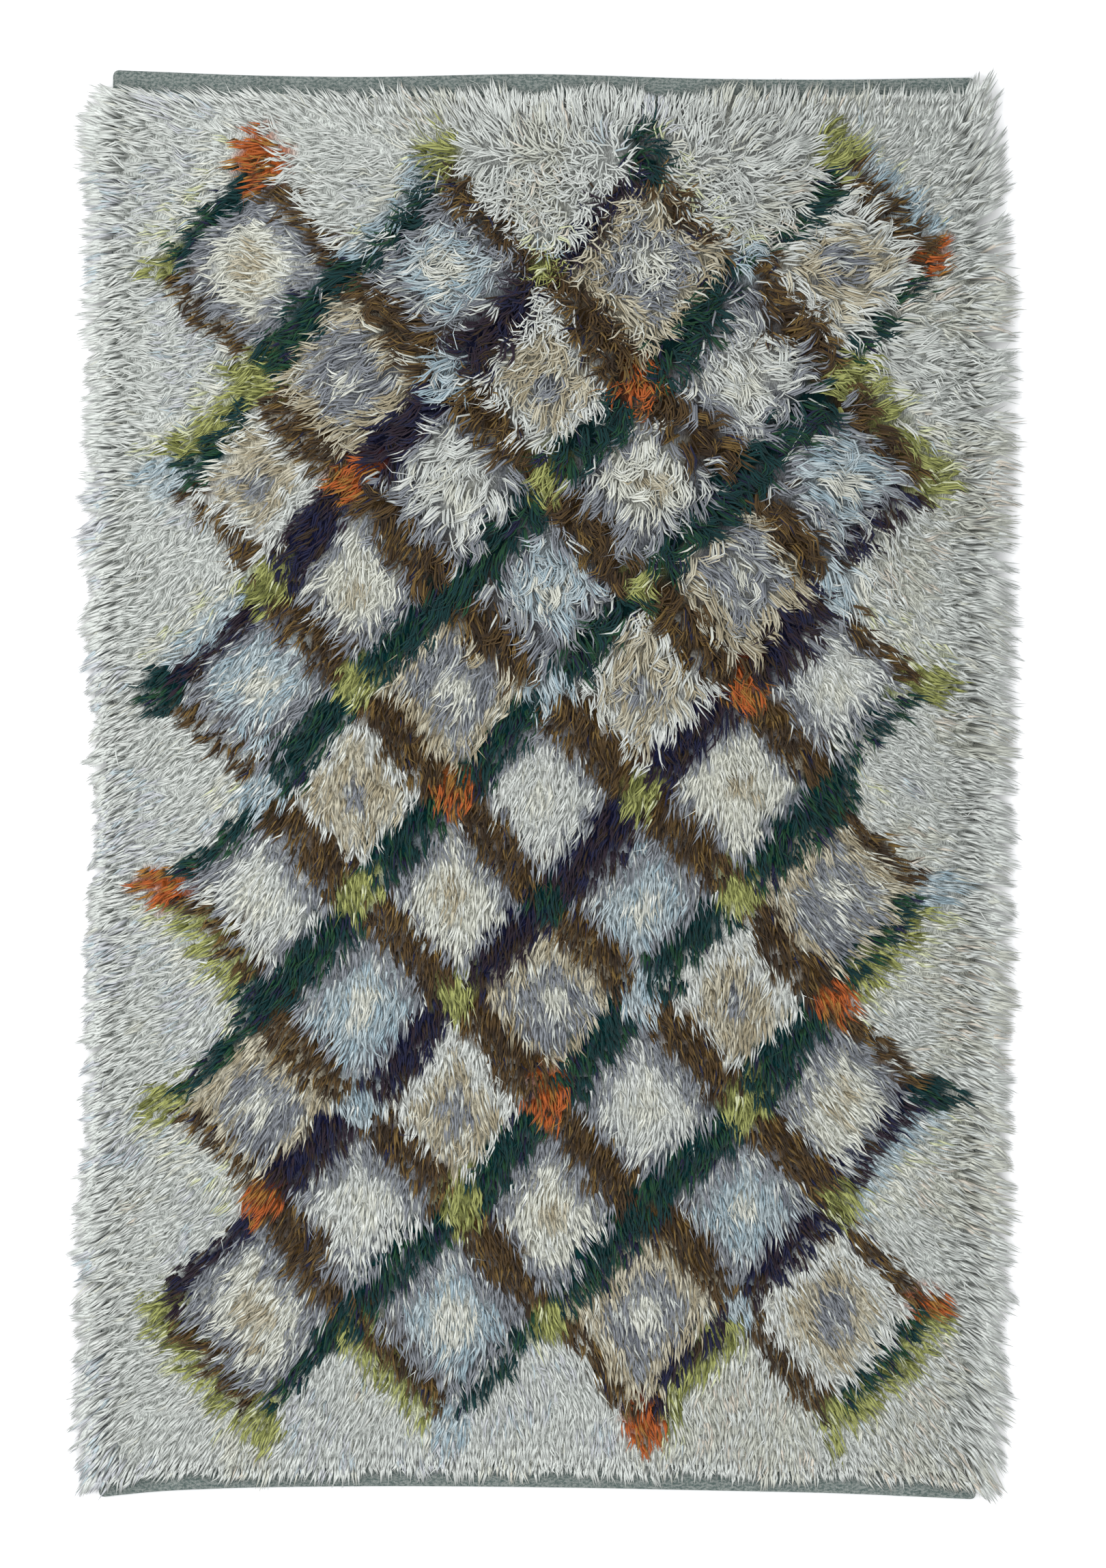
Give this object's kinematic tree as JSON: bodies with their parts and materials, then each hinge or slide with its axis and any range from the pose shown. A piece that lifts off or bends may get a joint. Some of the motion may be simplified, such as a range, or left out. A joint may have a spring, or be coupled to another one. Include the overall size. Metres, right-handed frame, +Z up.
{
  "type": "rya rug",
  "caption": "Long-pile knotted wool rug lying flat: a firm flat-woven ground with hemmed ends under a shaggy, matted pile.",
  "frame": {"origin": "on the floor, under the middle of the rug's outline", "axes": "+X across the rug to its right side in the picture, +Y along it to the picture's top end, +Z up from the floor"},
  "size_m": [1.3856, 2.0924, 0.0349],
  "materials": {
    "ground_weave": "firm grey-green flat weave of thin wool yarn, mottled, matt",
    "pile": "long soft wool locks in greys, cream and beige with dark brown, green and navy lines, matt with a faint sheen"
  },
  "bodies": {
    "root": {"ground_weave": "ground_weave", "pile": "pile"}
  },
  "joints": []
}
